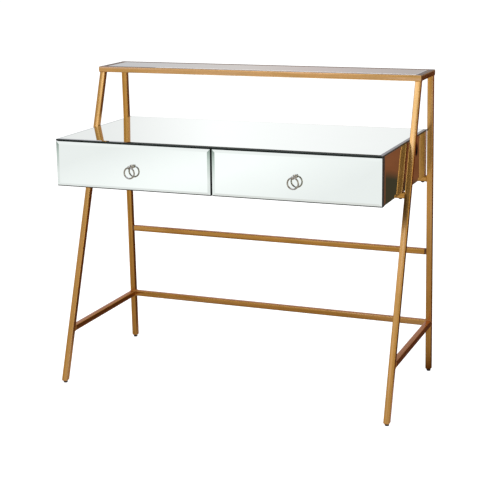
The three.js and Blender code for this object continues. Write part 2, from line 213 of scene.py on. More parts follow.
def facing_up(tree):
    """How far the surface faces up, from -1 to 1."""
    normal = add_node(tree, "ShaderNodeNewGeometry").outputs["Normal"]
    return add_node(tree, "ShaderNodeSeparateXYZ", {0: normal}).outputs["Z"]


# ---- Materials ----
GOLD_EDGE_TINT = (0.90, 0.68, 0.76, 1)
SHELF_GOLD_EDGE_TINT = (0.52, 0.50, 0.52, 1)


def gold_material():
    """Antique gold leaf on steel tube, brushed lengthwise in darker and paler streaks."""
    material, tree = new_material("antique_gold")
    return gold_surface(material, tree, gold_colour(tree))


def gold_colour(tree):
    """Lengthwise bands of dark and bright gold, with a mottled patina over them."""
    bands = noise(tree, piece_coords(tree, (1.6, 120, 120)), detail=4, roughness=0.6)
    patches = noise(tree, piece_coords(tree, (11, 42, 42)), detail=3, roughness=0.6)
    leaf = ramp(
        tree,
        bands,
        [
            (0.30, (0.38, 0.180, 0.028)),
            (0.44, (0.52, 0.255, 0.055)),
            (0.58, (0.57, 0.295, 0.085)),
            (0.76, (0.67, 0.420, 0.230)),
        ],
    )
    patina = ramp(tree, patches, [(0.3, (0.84, 0.86, 0.78)), (0.65, (1.0, 1.0, 1.0))])
    return mix(tree, 1.0, leaf, patina, "MULTIPLY")


def gold_surface(material, tree, colour, edge_tint=GOLD_EDGE_TINT, metallic=1.0):
    """The finely brushed shine of the gold, tinted where light grazes it."""
    grain = noise(tree, piece_coords(tree, (9, 900, 900)), detail=2)
    roughness = ramp(tree, grain, [(0.3, 0.20), (0.7, 0.29)])
    relief = bump(tree, grain, 0.03 * MM, 0.3)
    surface(
        tree,
        Base_Color=colour,
        Metallic=metallic,
        Specular_IOR_Level=0.0,
        Roughness=roughness,
        Normal=relief,
        Specular_Tint=edge_tint,
        Coat_Weight=0.1,
        Coat_Roughness=0.15,
    )
    return material


def shelf_gold_material():
    """The same gold on the shelf's rails, paler and bluer, and a duller, less metallic brown on
    their tops.
    """
    material, tree = new_material("shelf_gold")
    up = facing_up(tree)
    blotches = noise(tree, piece_coords(tree, (14, 60, 60)), detail=4)
    dull_top = ramp(tree, blotches, [(0.3, (0.14, 0.11, 0.095)), (0.7, (0.20, 0.155, 0.13))])
    on_top = ramp(tree, up, [(0.50, 0.0), (0.80, 1.0)])
    paler = mix(tree, 1.0, gold_colour(tree), (1.03, 1.12, 1.60), "MULTIPLY")
    colour = mix(tree, on_top, paler, dull_top)
    metallic = ramp(tree, on_top, [(0.0, 1.0), (1.0, 0.5)])
    return gold_surface(material, tree, colour, SHELF_GOLD_EDGE_TINT, metallic)


def mirror_material(name, tint, dust):
    """Silvered glass: a tinted mirror with faint waves in it and a little haze."""
    material, tree = new_material(name)
    haze = noise(tree, piece_coords(tree, (9, 9, 9)), detail=5, roughness=0.7)
    waves = noise(tree, piece_coords(tree, (6, 6, 6)), detail=1)
    colour = ramp(tree, haze, [(0.3, tint), (0.75, tuple(c * 0.985 for c in tint))])
    roughness = ramp(tree, haze, [(0.35, dust * 0.6), (0.75, dust)])
    relief = bump(tree, waves, 0.4 * MM, 0.3)
    surface(tree, Base_Color=colour, Metallic=1.0, Roughness=roughness, Normal=relief)
    return material


def painted_reflection_bevel_material(name, stops):
    """A bevel cut through thick glass, with a reflection painted along its length by (position,
    colour) stops.
    """
    material, tree = new_material(name)
    place = add_node(tree, "ShaderNodeTexCoord").outputs["Generated"]
    along = add_node(tree, "ShaderNodeSeparateXYZ", {0: place}).outputs["Y"]
    ripple = noise(tree, piece_coords(tree, (30, 30, 30)), detail=3)
    # The stops are a painted reflection, darker or paler along the bevel.
    tint = ramp(tree, along, stops)
    shade = ramp(tree, ripple, [(0.3, 0.93), (0.7, 1.0)])
    colour = mix(tree, 1.0, tint, shade, "MULTIPLY")
    roughness = ramp(tree, ripple, [(0.35, 0.03), (0.75, 0.06)])
    surface(tree, Base_Color=colour, Metallic=1.0, Roughness=roughness)
    return material


def glass_edge_material():
    """The ground edge of mirror glass, nearly black with a green cast."""
    material, tree = new_material("glass_edge")
    scratches = noise(tree, piece_coords(tree, (40, 40, 900)), detail=3)
    colour = ramp(tree, scratches, [(0.3, (0.004, 0.007, 0.005)), (0.75, (0.020, 0.030, 0.024))])
    roughness = ramp(tree, scratches, [(0.3, 0.12), (0.75, 0.3)])
    surface(tree, Base_Color=colour, Roughness=roughness, Specular_IOR_Level=0.25)
    return material


def backing_material():
    """The grey lacquer on the back of a mirror."""
    material, tree = new_material("mirror_backing")
    mottle = noise(tree, piece_coords(tree, (60, 60, 60)), detail=5)
    colour = ramp(tree, mottle, [(0.3, (0.10, 0.085, 0.075)), (0.7, (0.14, 0.125, 0.11))])
    surface(tree, Base_Color=colour, Roughness=0.55)
    return material


def board_material():
    """Black lacquered fibreboard, with orange peel and a few paler rubs."""
    material, tree = new_material("black_board")
    peel = noise(tree, piece_coords(tree, (420, 420, 420), shifted=False), detail=2)
    blotches = noise(tree, piece_coords(tree, (5, 38, 38), shifted=False), detail=6, roughness=0.7)
    colour = ramp(tree, blotches, [(0.45, (0.010, 0.0095, 0.008)), (0.8, (0.034, 0.031, 0.027))])
    roughness = ramp(tree, blotches, [(0.4, 0.42), (0.75, 0.62)])
    relief = bump(tree, peel, 0.06 * MM, 0.6)
    surface(tree, Base_Color=colour, Roughness=roughness, Normal=relief)
    return material


def wood_material():
    """Birch plywood for the drawer boxes: long grain on the faces, thin plies at the edges."""
    material, tree = new_material("birch_ply")
    place = piece_coords(tree, (1, 1, 1), shifted=False)
    lengthwise = piece_coords(tree, (9, 9, 130), shifted=False)
    grain = noise(tree, lengthwise, detail=6, roughness=0.62, distortion=0.6)
    pores = noise(tree, piece_coords(tree, (60, 60, 900), shifted=False), detail=3)
    face = ramp(
        tree,
        grain,
        [(0.28, (0.48, 0.34, 0.19)), (0.5, (0.60, 0.45, 0.27)), (0.75, (0.67, 0.52, 0.34))],
    )
    flecked = mix(tree, 0.35, face, ramp(tree, pores, [(0.35, 0.30), (0.55, 0.62)]), "MULTIPLY")
    plies = add_node(
        tree,
        "ShaderNodeTexWave",
        {"Vector": place, "Scale": 95.0, "Distortion": 1.2, "Detail": 2.0, "Detail Scale": 3.0},
        bands_direction="X",
    ).outputs["Fac"]
    edge = ramp(tree, plies, [(0.35, (0.30, 0.19, 0.10)), (0.6, (0.60, 0.44, 0.27))])
    up = facing_up(tree)
    on_top = add_node(tree, "ShaderNodeMath", {0: up, 1: 0.7}, operation="GREATER_THAN").outputs[0]
    colour = mix(tree, on_top, flecked, edge)
    relief = bump(tree, pores, 0.08 * MM, 0.5)
    surface(tree, Base_Color=colour, Roughness=0.48, Normal=relief)
    return material


def steel_material():
    """Zinc-plated sheet steel, drawn lengthwise."""
    material, tree = new_material("zinc_steel")
    lines = noise(tree, piece_coords(tree, (500, 12, 500), shifted=False), detail=3)
    spangle = noise(tree, piece_coords(tree, (70, 25, 70), shifted=False), detail=4)
    colour = ramp(tree, spangle, [(0.3, (0.46, 0.47, 0.48)), (0.7, (0.62, 0.63, 0.62))])
    roughness = ramp(tree, lines, [(0.3, 0.28), (0.7, 0.45)])
    relief = bump(tree, lines, 0.04 * MM, 0.5)
    surface(tree, Base_Color=colour, Metallic=1.0, Roughness=roughness, Normal=relief)
    return material


def nickel_material():
    """Polished nickel plate, a little darker in places."""
    material, tree = new_material("polished_nickel")
    cloud = noise(tree, piece_coords(tree, (150, 150, 150)), detail=4)
    colour = ramp(tree, cloud, [(0.3, (0.22, 0.200, 0.160)), (0.7, (0.38, 0.345, 0.280))])
    roughness = ramp(tree, cloud, [(0.3, 0.10), (0.7, 0.2)])
    surface(tree, Base_Color=colour, Metallic=1.0, Roughness=roughness)
    return material


def painted_shade_bronze_material():
    """Dark bronze lacquer, for the plugs at the high stretcher's ends, its darkness painted shade of
    the recess there.
    """
    material, tree = new_material("dark_bronze_painted_shade")
    cloud = noise(tree, piece_coords(tree, (220, 220, 220)), detail=4)
    colour = ramp(tree, cloud, [(0.3, (0.10, 0.045, 0.025)), (0.7, (0.17, 0.08, 0.045))])
    surface(tree, Base_Color=colour, Metallic=0.8, Roughness=0.42)
    return material


def black_material(name, low, high):
    """Black plastic or blackened steel, with a fine grain; its roughness runs from low to high."""
    material, tree = new_material(name)
    grain = noise(tree, piece_coords(tree, (900, 900, 900)), detail=3)
    colour = ramp(tree, grain, [(0.3, (0.006, 0.006, 0.006)), (0.7, (0.017, 0.016, 0.015))])
    roughness = ramp(tree, grain, [(0.3, low), (0.7, high)])
    relief = bump(tree, grain, 0.03 * MM, 0.4)
    surface(tree, Base_Color=colour, Roughness=roughness, Normal=relief)
    return material


GOLD = gold_material()
SHELF_GOLD = shelf_gold_material()
SILVER = mirror_material("silver_mirror", (0.86, 0.91, 0.89), 0.02)
SHELF_SILVER = mirror_material("shelf_mirror", (0.80, 0.78, 0.79), 0.04)
# The glass's own green, with a darker reflection painted towards each bevel's upper end.
GREEN_BEVEL_PAINTED_REFLECTION = painted_reflection_bevel_material(
    "green_bevel_painted_reflection",
    [(0.3, (0.80, 0.86, 0.83)), (0.75, (0.52, 0.61, 0.56)), (1.0, (0.25, 0.32, 0.28))],
)
# A painted reflection: dark grey-lilac, a little paler towards one end of the bevel.
LILAC_BEVEL_PAINTED_REFLECTION = painted_reflection_bevel_material(
    "lilac_bevel_painted_reflection",
    [(0.0, (0.11, 0.10, 0.12)), (1.0, (0.17, 0.16, 0.175))],
)
GLASS_EDGE = glass_edge_material()
BACKING = backing_material()
BOARD = board_material()
WOOD = wood_material()
STEEL = steel_material()
NICKEL = nickel_material()
DARK_BRONZE_PAINTED_SHADE = painted_shade_bronze_material()
PLASTIC = black_material("black_plastic", 0.4, 0.6)
SCREW = black_material("black_screw", 0.25, 0.4)


# ---- Pieces ----
def new_object(name, mesh, materials):
    """An object from a bmesh, which is used up."""
    data = bpy.data.meshes.new(name)
    mesh.to_mesh(data)
    mesh.free()
    for material in materials:
        data.materials.append(material)
    made = bpy.data.objects.new(name, data)
    bpy.context.scene.collection.objects.link(made)
    return made


def new_piece(name, mesh, materials, body, replaces, place, sharp=SHARP):
    """A piece of the table from a bmesh, smooth but for edges sharper than `sharp` degrees."""
    bmesh.ops.recalc_face_normals(mesh, faces=mesh.faces)
    for face in mesh.faces:
        face.smooth = True
    for edge in mesh.edges:
        if len(edge.link_faces) == 2:
            edge.smooth = edge.calc_face_angle() < math.radians(sharp)
    piece = new_object(name, mesh, materials)
    piece.matrix_world = place
    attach(piece, body)
    if replaces:
        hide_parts(*replaces)


def circle(steps):
    """The angles of `steps` points round a circle."""
    return [2 * math.pi * i / steps for i in range(steps)]


def add_loop(mesh, points):
    return [mesh.verts.new(point) for point in points]


def bridge(mesh, first, second, material=0):
    count = len(first)
    for i in range(count):
        after = (i + 1) % count
        face = mesh.faces.new((first[i], first[after], second[after], second[i]))
        face.material_index = material


def bridge_all(mesh, loops, closed=False):
    """Faces between each loop and the next, and from the last to the first if closed."""
    following = loops[1:] + loops[:1] if closed else loops[1:]
    for first, second in zip(loops, following):
        bridge(mesh, first, second)


def cap(mesh, loop, material=0):
    mesh.faces.new(loop).material_index = material


def tube_section(size, radius):
    """Section points (u, v) of a square tube with rounded corners and slightly crowned faces."""
    flat = size / 2 - radius
    crown = TUBE_CROWN * size / TUBE
    points = []
    for corner in range(4):
        turn = corner * math.pi / 2
        side = []
        for step in range(CORNER_STEPS + 1):
            angle = step / CORNER_STEPS * math.pi / 2
            u, v = flat + radius * math.cos(angle), flat + radius * math.sin(angle)
            side.append((u - crown, v - crown))
        for step in range(1, FACE_STEPS):
            across = 1 - 2 * step / FACE_STEPS
            side.append((across * (flat - crown), size / 2 - crown * across * across))
        points += [
            (u * math.cos(turn) - v * math.sin(turn), u * math.sin(turn) + v * math.cos(turn))
            for u, v in side
        ]
    return points


def cross_axes(start, end, across):
    """Unit vectors along a tube, across it, and at right angles to both."""
    along = (end - start).normalized()
    u = (across - along * across.dot(along)).normalized()
    return along, u, along.cross(u)


def weld_bead(name, at, along, across, normal):
    """The rippled bead round a tube's end, where it is welded to a face with this normal."""
    along, u_axis, v_axis = cross_axes(at, at + along, across)
    mesh = bmesh.new()
    loops = []
    outline = tube_section(TUBE, TUBE_CORNER)
    for i, (u, v) in enumerate(outline):
        reach = u_axis * u + v_axis * v
        outward = reach.normalized()
        centre = reach - along * (reach.dot(normal) / along.dot(normal))
        wire = WELD * (1 + WELD_RIPPLE * math.sin(WELD_RIPPLE_TURN * i))
        section = [
            centre + (outward * math.cos(b) + along * math.sin(b)) * wire
            for b in circle(WELD_STEPS)
        ]
        loops.append(add_loop(mesh, section))
    bridge_all(mesh, loops, closed=True)
    new_piece(name, mesh, [GOLD], "frame", (), Matrix.Translation(at))


def tube(name, start, end, across, cuts, node, chamfer=0.0, finish=GOLD, welded=()):
    """A square tube from start to end, its ends cut in planes with the normals `cuts`.

    The piece's own X runs along the tube, so that its finish is brushed lengthwise. `chamfer` is
    cut off the first end's edges, and `welded` lists the ends (0 or 1) that get a weld bead.
    """
    along, u_axis, v_axis = cross_axes(start, end, across)
    length = (end - start).length

    def ring(at, normal, lift, inset):
        """The section at `at` along the tube, cut to a plane, lifted off it and inset."""
        steep = along.dot(normal)
        points = []
        for u, v in tube_section(TUBE - 2 * inset, TUBE_CORNER - inset / 2):
            drop = (u_axis * u + v_axis * v).dot(normal)
            points.append(Vector((at + (lift - drop) / steep, u, v)))
        return points

    mesh = bmesh.new()
    loops = []
    if chamfer:
        loops.append(add_loop(mesh, ring(0, cuts[0], 0, chamfer)))
    loops.append(add_loop(mesh, ring(0, cuts[0], chamfer, 0)))
    loops.append(add_loop(mesh, ring(length, cuts[1], 0, 0)))
    bridge_all(mesh, loops)
    cap(mesh, loops[0])
    cap(mesh, loops[-1])
    place = Matrix((along, u_axis, v_axis)).transposed().to_4x4()
    place.translation = start
    new_piece(name, mesh, [finish], "frame", [node], place)
    for i in welded:
        weld_bead(f"{node}_weld_{i + 1}", (start, end)[i], along, across, cuts[i])


def vertices_at(node, height):
    """Lowest and highest corner of a CAD node's vertices at one height."""
    found = [v.co for v in nodes[node].data.vertices if abs(v.co.z - height) < LEVEL_SLACK]
    low = Vector(min(p[i] for p in found) for i in range(3))
    high = Vector(max(p[i] for p in found) for i in range(3))
    return low, high


def middle_of(low, high):
    return (low + high) / 2


# ---- Gold frame ----
def leg(name):
    """A slanting leg with a chamfered foot, cut level under the shelf."""
    low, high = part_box(name)
    shoulder = low.z + FOOT_CHAMFER
    foot = middle_of(*vertices_at(name, shoulder))
    head = middle_of(*vertices_at(name, high.z))
    slope = (head - foot) / (head.z - foot.z)
    start = foot - slope * FOOT_CHAMFER
    start.y -= HEEL_TUCK
    end = head + slope * (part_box("shelf_rail_front")[0].z - head.z)
    tube(name + "_tube", start, end, X, (Z, Z), name, chamfer=FOOT_CHAMFER, welded=(1,))


def cross_tube(name, reach=None):
    """A tube across the table, as long as its CAD node, or welded to legs at -reach and reach."""
    low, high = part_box(name)
    half = reach or high.x
    start = middle_of(low, high)
    end = start.copy()
    start.x, end.x = -half, half
    tube(name + "_tube", start, end, Z, (X, X), name, welded=(0, 1) if reach else ())


def side_stretcher(side):
    """A tube from a front leg back to a back leg, its ends cut to their slants."""
    name = f"side_stretcher_{side}"
    low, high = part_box(name)
    ends, cuts = [], []
    for end, face in (("front", 1), ("back", 0)):
        leg_name = f"{end}_leg_{side}"
        bottom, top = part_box(leg_name)
        foot = vertices_at(leg_name, bottom.z + FOOT_CHAMFER)[face]
        head = vertices_at(leg_name, top.z)[face]
        slope = (head.y - foot.y) / (head.z - foot.z)
        height = (low.z + high.z) / 2
        centre = Vector(((low.x + high.x) / 2, foot.y + slope * (height - foot.z), height))
        ends.append(centre)
        cuts.append(Vector((0, 1, -slope)).normalized())
    tube(name + "_tube", ends[0], ends[1], X, cuts, name, welded=(0, 1))


def shelf_rail(name, along, mitres):
    """One side of the shelf's frame, mitred to its neighbours."""
    low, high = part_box(name)
    centre = middle_of(low, high)
    start, end = centre.copy(), centre.copy()
    axis = 0 if along is X else 1
    half_tube = TUBE / 2
    start[axis] += low[axis] - centre[axis] + half_tube
    end[axis] += high[axis] - centre[axis] - half_tube
    tube(name + "_tube", start, end, Z, mitres, name, finish=SHELF_GOLD)


def make_frame():
    for side in SIDES:
        for end in ("front", "back"):
            leg(f"{end}_leg_{side}")
        side_stretcher(side)
    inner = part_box("front_leg_right")[0].x
    cross_tube("back_stretcher_low", inner)
    cross_tube("back_stretcher_high")
    cross_tube("box_rail_front", inner)
    cross_tube("box_rail_back", inner)
    diagonal, other = Vector((1, -1, 0)).normalized(), Vector((1, 1, 0)).normalized()
    shelf_rail("shelf_rail_front", X, (diagonal, other))
    shelf_rail("shelf_rail_back", X, (other, diagonal))
    shelf_rail("shelf_rail_left", Y, (diagonal, other))
    shelf_rail("shelf_rail_right", Y, (other, diagonal))


# ---- Mirrors ----
MIRROR_SIDES = ("+y", "-x", "-y", "+x")  # in the order of a mirror's corners
# The fourth material index is for bevels with a painted reflection.
FACE, GROUND_EDGE, BACK, PAINTED_REFLECTION = range(4)


def mirror_mesh(width, height, glass, bevel, drop, arris, tinted):
    """Glass in XY, its back at Z = 0. The bevels on the sides in `tinted` have their own material,
    with a painted reflection.

    `arris` is the width of the ground corner along the lower edge; the others have ARRIS. Each ring
    is an inset and a level, and then the same two for the lower edge.
    """
    rings = [
        (ARRIS, 0.0, ARRIS, 0.0),
        (0.0, ARRIS, 0.0, ARRIS),
        (0.0, glass - drop - ARRIS, 0.0, glass - drop - arris),
        (ARRIS, glass - drop, arris, glass - drop),
        (bevel, glass, bevel, glass),
    ]
    mesh = bmesh.new()
    loops = []
    for inset, level, low_inset, low_level in rings:
        x, y, low_y = width / 2 - inset, height / 2 - inset, low_inset - height / 2
        corners = [(x, y, level), (-x, y, level), (-x, low_y, low_level), (x, low_y, low_level)]
        loops.append(add_loop(mesh, corners))
    for first, second in zip(loops[:3], loops[1:4]):
        bridge(mesh, first, second, GROUND_EDGE)
    for i, side in enumerate(MIRROR_SIDES):
        after = (i + 1) % 4
        face = mesh.faces.new((loops[3][i], loops[3][after], loops[4][after], loops[4][i]))
        face.material_index = PAINTED_REFLECTION if side in tinted else FACE
    cap(mesh, loops[0], BACK)
    cap(mesh, loops[-1], FACE)
    return mesh


def mirror(
    node,
    body,
    facing,
    face=SILVER,
    cut=(BEVEL, BEVEL_DROP, ARRIS),
    tinted=(),
    tint=GREEN_BEVEL_PAINTED_REFLECTION,
):
    """The mirror that replaces a CAD node. `facing` gives where its own X, Y and Z point."""
    low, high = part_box(node)
    size = high - low
    width, height, glass = (abs(axis.dot(size)) for axis in facing)
    place = Matrix(facing).transposed().to_4x4()
    place.translation = middle_of(low, high) - facing[2] * glass / 2
    mesh = mirror_mesh(width, height, glass, *cut, tinted)
    # `tint` paints a reflection on the bevels of the sides in `tinted`.
    materials = [face, GLASS_EDGE, BACKING, tint]
    new_piece(node + "_glass", mesh, materials, body, [node], place, sharp=BEVEL_SHARP)


def make_mirrors():
    # Lilac on the top and side mirrors and green on the drawers' ends are reflections painted on
    # those bevels.
    mirror("top_mirror", "frame", (X, Y, Z), tinted=("+x",), tint=LILAC_BEVEL_PAINTED_REFLECTION)
    mirror("side_mirror_right", "frame", (Y, Z, X), tinted=("+x",), tint=LILAC_BEVEL_PAINTED_REFLECTION)
    mirror("side_mirror_left", "frame", (-Y, Z, -X), tinted=("-x",), tint=LILAC_BEVEL_PAINTED_REFLECTION)
    painted_reflection_ends = {"left": ("-x", "+x"), "right": ("-x",)}
    for side, ends in painted_reflection_ends.items():
        cut = (BEVEL, BEVEL_DROP, DRAWER_ARRIS)
        mirror(f"drawer_{side}_mirror", f"drawer_{side}", (X, Z, -Y), cut=cut, tinted=ends)
    flat = (ARRIS * 2, ARRIS, ARRIS)
    mirror("shelf_mirror", "frame", (X, Y, Z), SHELF_SILVER, flat)


# ---- Carried-over CAD nodes ----
# The starts of their names, their materials, and how far their edges are eased, in mm.
CARRIED = {
    "top_board": (BOARD, 0.6),
    "bottom_board": (BOARD, 0.6),
    "back_board": (BOARD, 0.4),
    "divider": (BOARD, 0.6),
    "side_board": (BOARD, 0.6),
    "shelf_board": (BOARD, 0.4),
    "slide": (STEEL, 0.25),
    # The plugs' dark bronze is painted shade.
    "stretcher_plug": (DARK_BRONZE_PAINTED_SHADE, 0.3),
    "box_screw_": (SCREW, 0.3),
}
DRAWER_PARTS = {
    "_front": (BOARD, 0.5),
    "_side": (WOOD, 0.6),
    "_back": (WOOD, 0.6),
    "_bottom": (WOOD, 0.3),
}
MERGE_DISTANCE = 0.01 * MM


def finish_cad_node(node, material, rounding):
    """A CAD node with its finish, and its hard edges eased by `rounding` millimetres."""
    piece = nodes[node]
    piece.data.materials.clear()
    piece.data.materials.append(material)
    weld = piece.modifiers.new("weld", "WELD")
    weld.merge_threshold = MERGE_DISTANCE
    ease = piece.modifiers.new("ease", "BEVEL")
    ease.width = rounding * MM
    ease.segments = 2
    ease.limit_method = "ANGLE"
    ease.angle_limit = math.radians(SHARP)


def finish_carried():
    for name in nodes:
        for prefix, (material, rounding) in CARRIED.items():
            if name.startswith(prefix):
                finish_cad_node(name, material, rounding)
        if name.startswith("drawer_"):
            for part, (material, rounding) in DRAWER_PARTS.items():
                if part in name:
                    finish_cad_node(name, material, rounding)


# ---- Turned pieces ----
def lathe_mesh(profile):
    """A solid of revolution about Z, from (radius, z) points that start and end on the axis."""
    mesh = bmesh.new()
    start = mesh.verts.new((0, 0, profile[0][1]))
    end = mesh.verts.new((0, 0, profile[-1][1]))
    turn = circle(LATHE_TURNS)
    loops = [
        add_loop(mesh, [(radius * math.cos(a), radius * math.sin(a), z) for a in turn])
        for radius, z in profile[1:-1]
    ]
    bridge_all(mesh, loops)
    for i in range(LATHE_TURNS):
        after = (i + 1) % LATHE_TURNS
        mesh.faces.new((start, loops[0][after], loops[0][i]))
        mesh.faces.new((end, loops[-1][i], loops[-1][after]))
    return mesh


def ring_mesh(section, turns):
    """A closed ring about Y. `section` is its closed outline, as (radius, y) points."""
    mesh = bmesh.new()
    loops = [
        add_loop(mesh, [(r * math.cos(a), y, r * math.sin(a)) for r, y in section])
        for a in circle(turns)
    ]
    bridge_all(mesh, loops, closed=True)
    return mesh


def wire_section(radius):
    """The round section of a ring's wire."""
    return [
        (radius + RING_WIRE * math.cos(b), RING_WIRE * math.sin(b))
        for b in circle(WIRE_STEPS)
    ]


def eye_section():
    """The section of a drilled ball with flat sides, its hole eased at both ends."""
    points = []
    for i in range(EYE_STEPS + 1):
        y = EYE_HALF_WIDTH * (2 * i / EYE_STEPS - 1)
        points.append((math.sqrt(EYE_RADIUS**2 - y**2), y))
    points += [(EYE_HOLE + EYE_EASE, EYE_HALF_WIDTH), (EYE_HOLE, EYE_HALF_WIDTH - EYE_EASE)]
    points += [(EYE_HOLE, EYE_EASE - EYE_HALF_WIDTH), (EYE_HOLE + EYE_EASE, -EYE_HALF_WIDTH)]
    return points


# The post's outline, from its stud's end to its eye: (radius, height off the mirror) in mm.
POST_OUTLINE = [
    (0, -21), (1.8, -21), (2.4, -20.4), (2.4, 0.3), (6.2, 0.3), (6.5, 0.6), (6.5, 1.1), (6.1, 1.6),
    (5.2, 2.0), (4.3, 2.9), (3.5, 4.4), (3.2, 6.2), (3.3, 8.2), (3.9, 9.8), (4.1, 10.8), (0, 10.8),
]


def make_pulls():
    for side in SIDES:
        ring = f"pull_ring_{side}"
        low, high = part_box(ring)
        place = Matrix.Translation(middle_of(low, high))
        mesh = ring_mesh(wire_section((high.x - low.x) / 2 - RING_WIRE), RING_TURNS)
        new_piece(ring + "_turned", mesh, [NICKEL], f"pull_{side}", [ring], place)

        body = f"drawer_{side}"
        post = f"pull_post_{side}"
        low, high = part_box(post)
        foot = middle_of(low, high)
        foot.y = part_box(f"drawer_{side}_mirror")[0].y
        place = Matrix.Translation(foot) @ Matrix.Rotation(math.pi / 2, 4, "X")
        mesh = lathe_mesh([(radius * MM, height * MM) for radius, height in POST_OUTLINE])
        new_piece(post + "_turned", mesh, [NICKEL], body, [post], place)

        eye = foot - Y * PULL_STANDOFF
        place = Matrix.Translation(eye) @ Matrix.Rotation(math.pi / 2, 4, "Z")
        mesh = ring_mesh(eye_section(), EYE_TURNS)
        new_piece(f"pull_eye_{side}", mesh, [NICKEL], body, (), place)


# ---- Glides ----
# A glide's outline near the floor and near the tube: (radius, distance from that end) in mm.
GLIDE_FOOT = [(5.2, 0), (5.8, 0.2), (6.2, 0.8), (6.3, 1.6)]
GLIDE_HEAD = [(6.3, 1.6), (6.1, 0.8), (5.6, 0)]


def glide(name):
    """A moulded glide: a round foot, well rounded at the floor and eased under the tube."""
    low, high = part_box(name)
    middle = middle_of(low, high)
    height = high.z - low.z
    foot = [(radius * MM, up * MM) for radius, up in GLIDE_FOOT]
    head = [(radius * MM, height - down * MM) for radius, down in GLIDE_HEAD]
    mesh = lathe_mesh([(0, 0), *foot, *head, (0, height)])
    place = Matrix.Translation((middle.x, middle.y, low.z))
    new_piece(name + "_moulded", mesh, [PLASTIC], "frame", [name], place)


def make_glides():
    for name in nodes:
        if name.startswith("glide_"):
            glide(name)


# ---- Stage ----
# Places are in metres. The colours are what the photographed table shows of its studio.
REFLECTED_ONLY = {"visible_camera": False, "visible_diffuse": False, "visible_shadow": False}
FLOOR_REACH = 14.0
REFLECTED_FLOOR_LEVEL = -0.002
BROWN_FLOOR = (0.13, 0.07, 0.04)
CARD_Y = 1.6
CARD_X = (0.48, 1.6)
CARD_TOP = 0.85


def stage_sheet(name, corners, material, **visibility):
    """A flat sheet of the studio: the floor, or a card that the table reflects."""
    mesh = bmesh.new()
    mesh.faces.new([mesh.verts.new(corner) for corner in corners])
    sheet = new_object(name, mesh, [material])
    for setting, value in visibility.items():
        setattr(sheet, setting, value)


def glowing_material(name):
    """A material that glows, its tree, its glow node, and its place in the studio as a socket."""
    material, tree = new_material(name)
    glow = add_node(tree, "ShaderNodeEmission")
    add_node(tree, "ShaderNodeOutputMaterial", {"Surface": glow.outputs[0]})
    return material, tree, glow, add_node(tree, "ShaderNodeTexCoord").outputs["Object"]


def distance_from(tree, place, point, stretch):
    """How far a place is from a point, with each axis weighed by `stretch`."""
    away = add_node(tree, "ShaderNodeVectorMath", {0: place, 1: point}, operation="SUBTRACT")
    weighed = add_node(
        tree,
        "ShaderNodeVectorMath",
        {0: away.outputs[0], 1: stretch},
        operation="MULTIPLY",
    )
    length = add_node(tree, "ShaderNodeVectorMath", {0: weighed.outputs[0]}, operation="LENGTH")
    return length.outputs["Value"]


def faded(tree, value, near, far, at_near, at_far):
    """A colour that runs from `at_near` where the value is `near` to `at_far` where it is `far`."""
    return ramp(tree, map_range(tree, value, near, far), [(0.0, at_near), (1.0, at_far)])


def floor_corners(level):
    square = [(-1, -1), (1, -1), (1, 1), (-1, 1)]
    return [(x * FLOOR_REACH, y * FLOOR_REACH, level) for x, y in square]


def make_floor():
    """The pale floor that the camera sees, which no mirror shows."""
    material, tree = new_material("pale_floor")
    speck = noise(tree, piece_coords(tree, (3, 3, 3), shifted=False), detail=3)
    surface(
        tree,
        Base_Color=ramp(tree, speck, [(0.3, 0.33), (0.7, 0.37)]),
        Roughness=0.9,
        Specular_IOR_Level=0.0,
        Emission_Color=(1, 1, 1, 1),
        Emission_Strength=0.97,
    )
    stage_sheet("floor", floor_corners(0), material, visible_glossy=False)


def make_reflected_floor():
    """The floor that the table reflects.

    It is shaded near the table, with a pool of light ahead on the left and a dim pool ahead on the
    right. Behind all but the table's left end it is brown.
    """
    material, tree, glow, place = glowing_material("reflected_floor")
    near = distance_from(tree, place, (0, 0.1, 0), (0.8, 1, 0))
    shade = ramp(
        tree,
        map_range(tree, near, 0.3, 3.0),
        [(0.0, (0.52, 0.47, 0.41)), (0.30, (0.69, 0.64, 0.59)), (0.58, 0.88), (1.0, 0.955)],
    )
    pool = distance_from(tree, place, (-1.48, -3.9, 0), (1, 0.35, 0))
    light = faded(tree, pool, 0.15, 0.9, 0.18, 0.0)
    split = add_node(tree, "ShaderNodeSeparateXYZ", {0: place})
    behind = map_range(tree, split.outputs["Y"], 0.05, 0.22)
    past_left_end = map_range(tree, split.outputs["X"], -0.50, -0.35)
    brown = mix(tree, 1.0, behind, past_left_end, "MULTIPLY")
    lit = mix(tree, 1.0, shade, light, "ADD")
    ahead = distance_from(tree, place, (1.35, -3.6, 0), (1, 0.6, 0))
    dimmed = faded(tree, ahead, 0.45, 1.15, (0.40, 0.36, 0.32), 1.0)
    pale = mix(tree, 1.0, lit, dimmed, "MULTIPLY")
    tree.links.new(mix(tree, brown, pale, BROWN_FLOOR), glow.inputs["Color"])
    corners = floor_corners(REFLECTED_FLOOR_LEVEL)
    stage_sheet("reflected_floor", corners, material, **REFLECTED_ONLY)


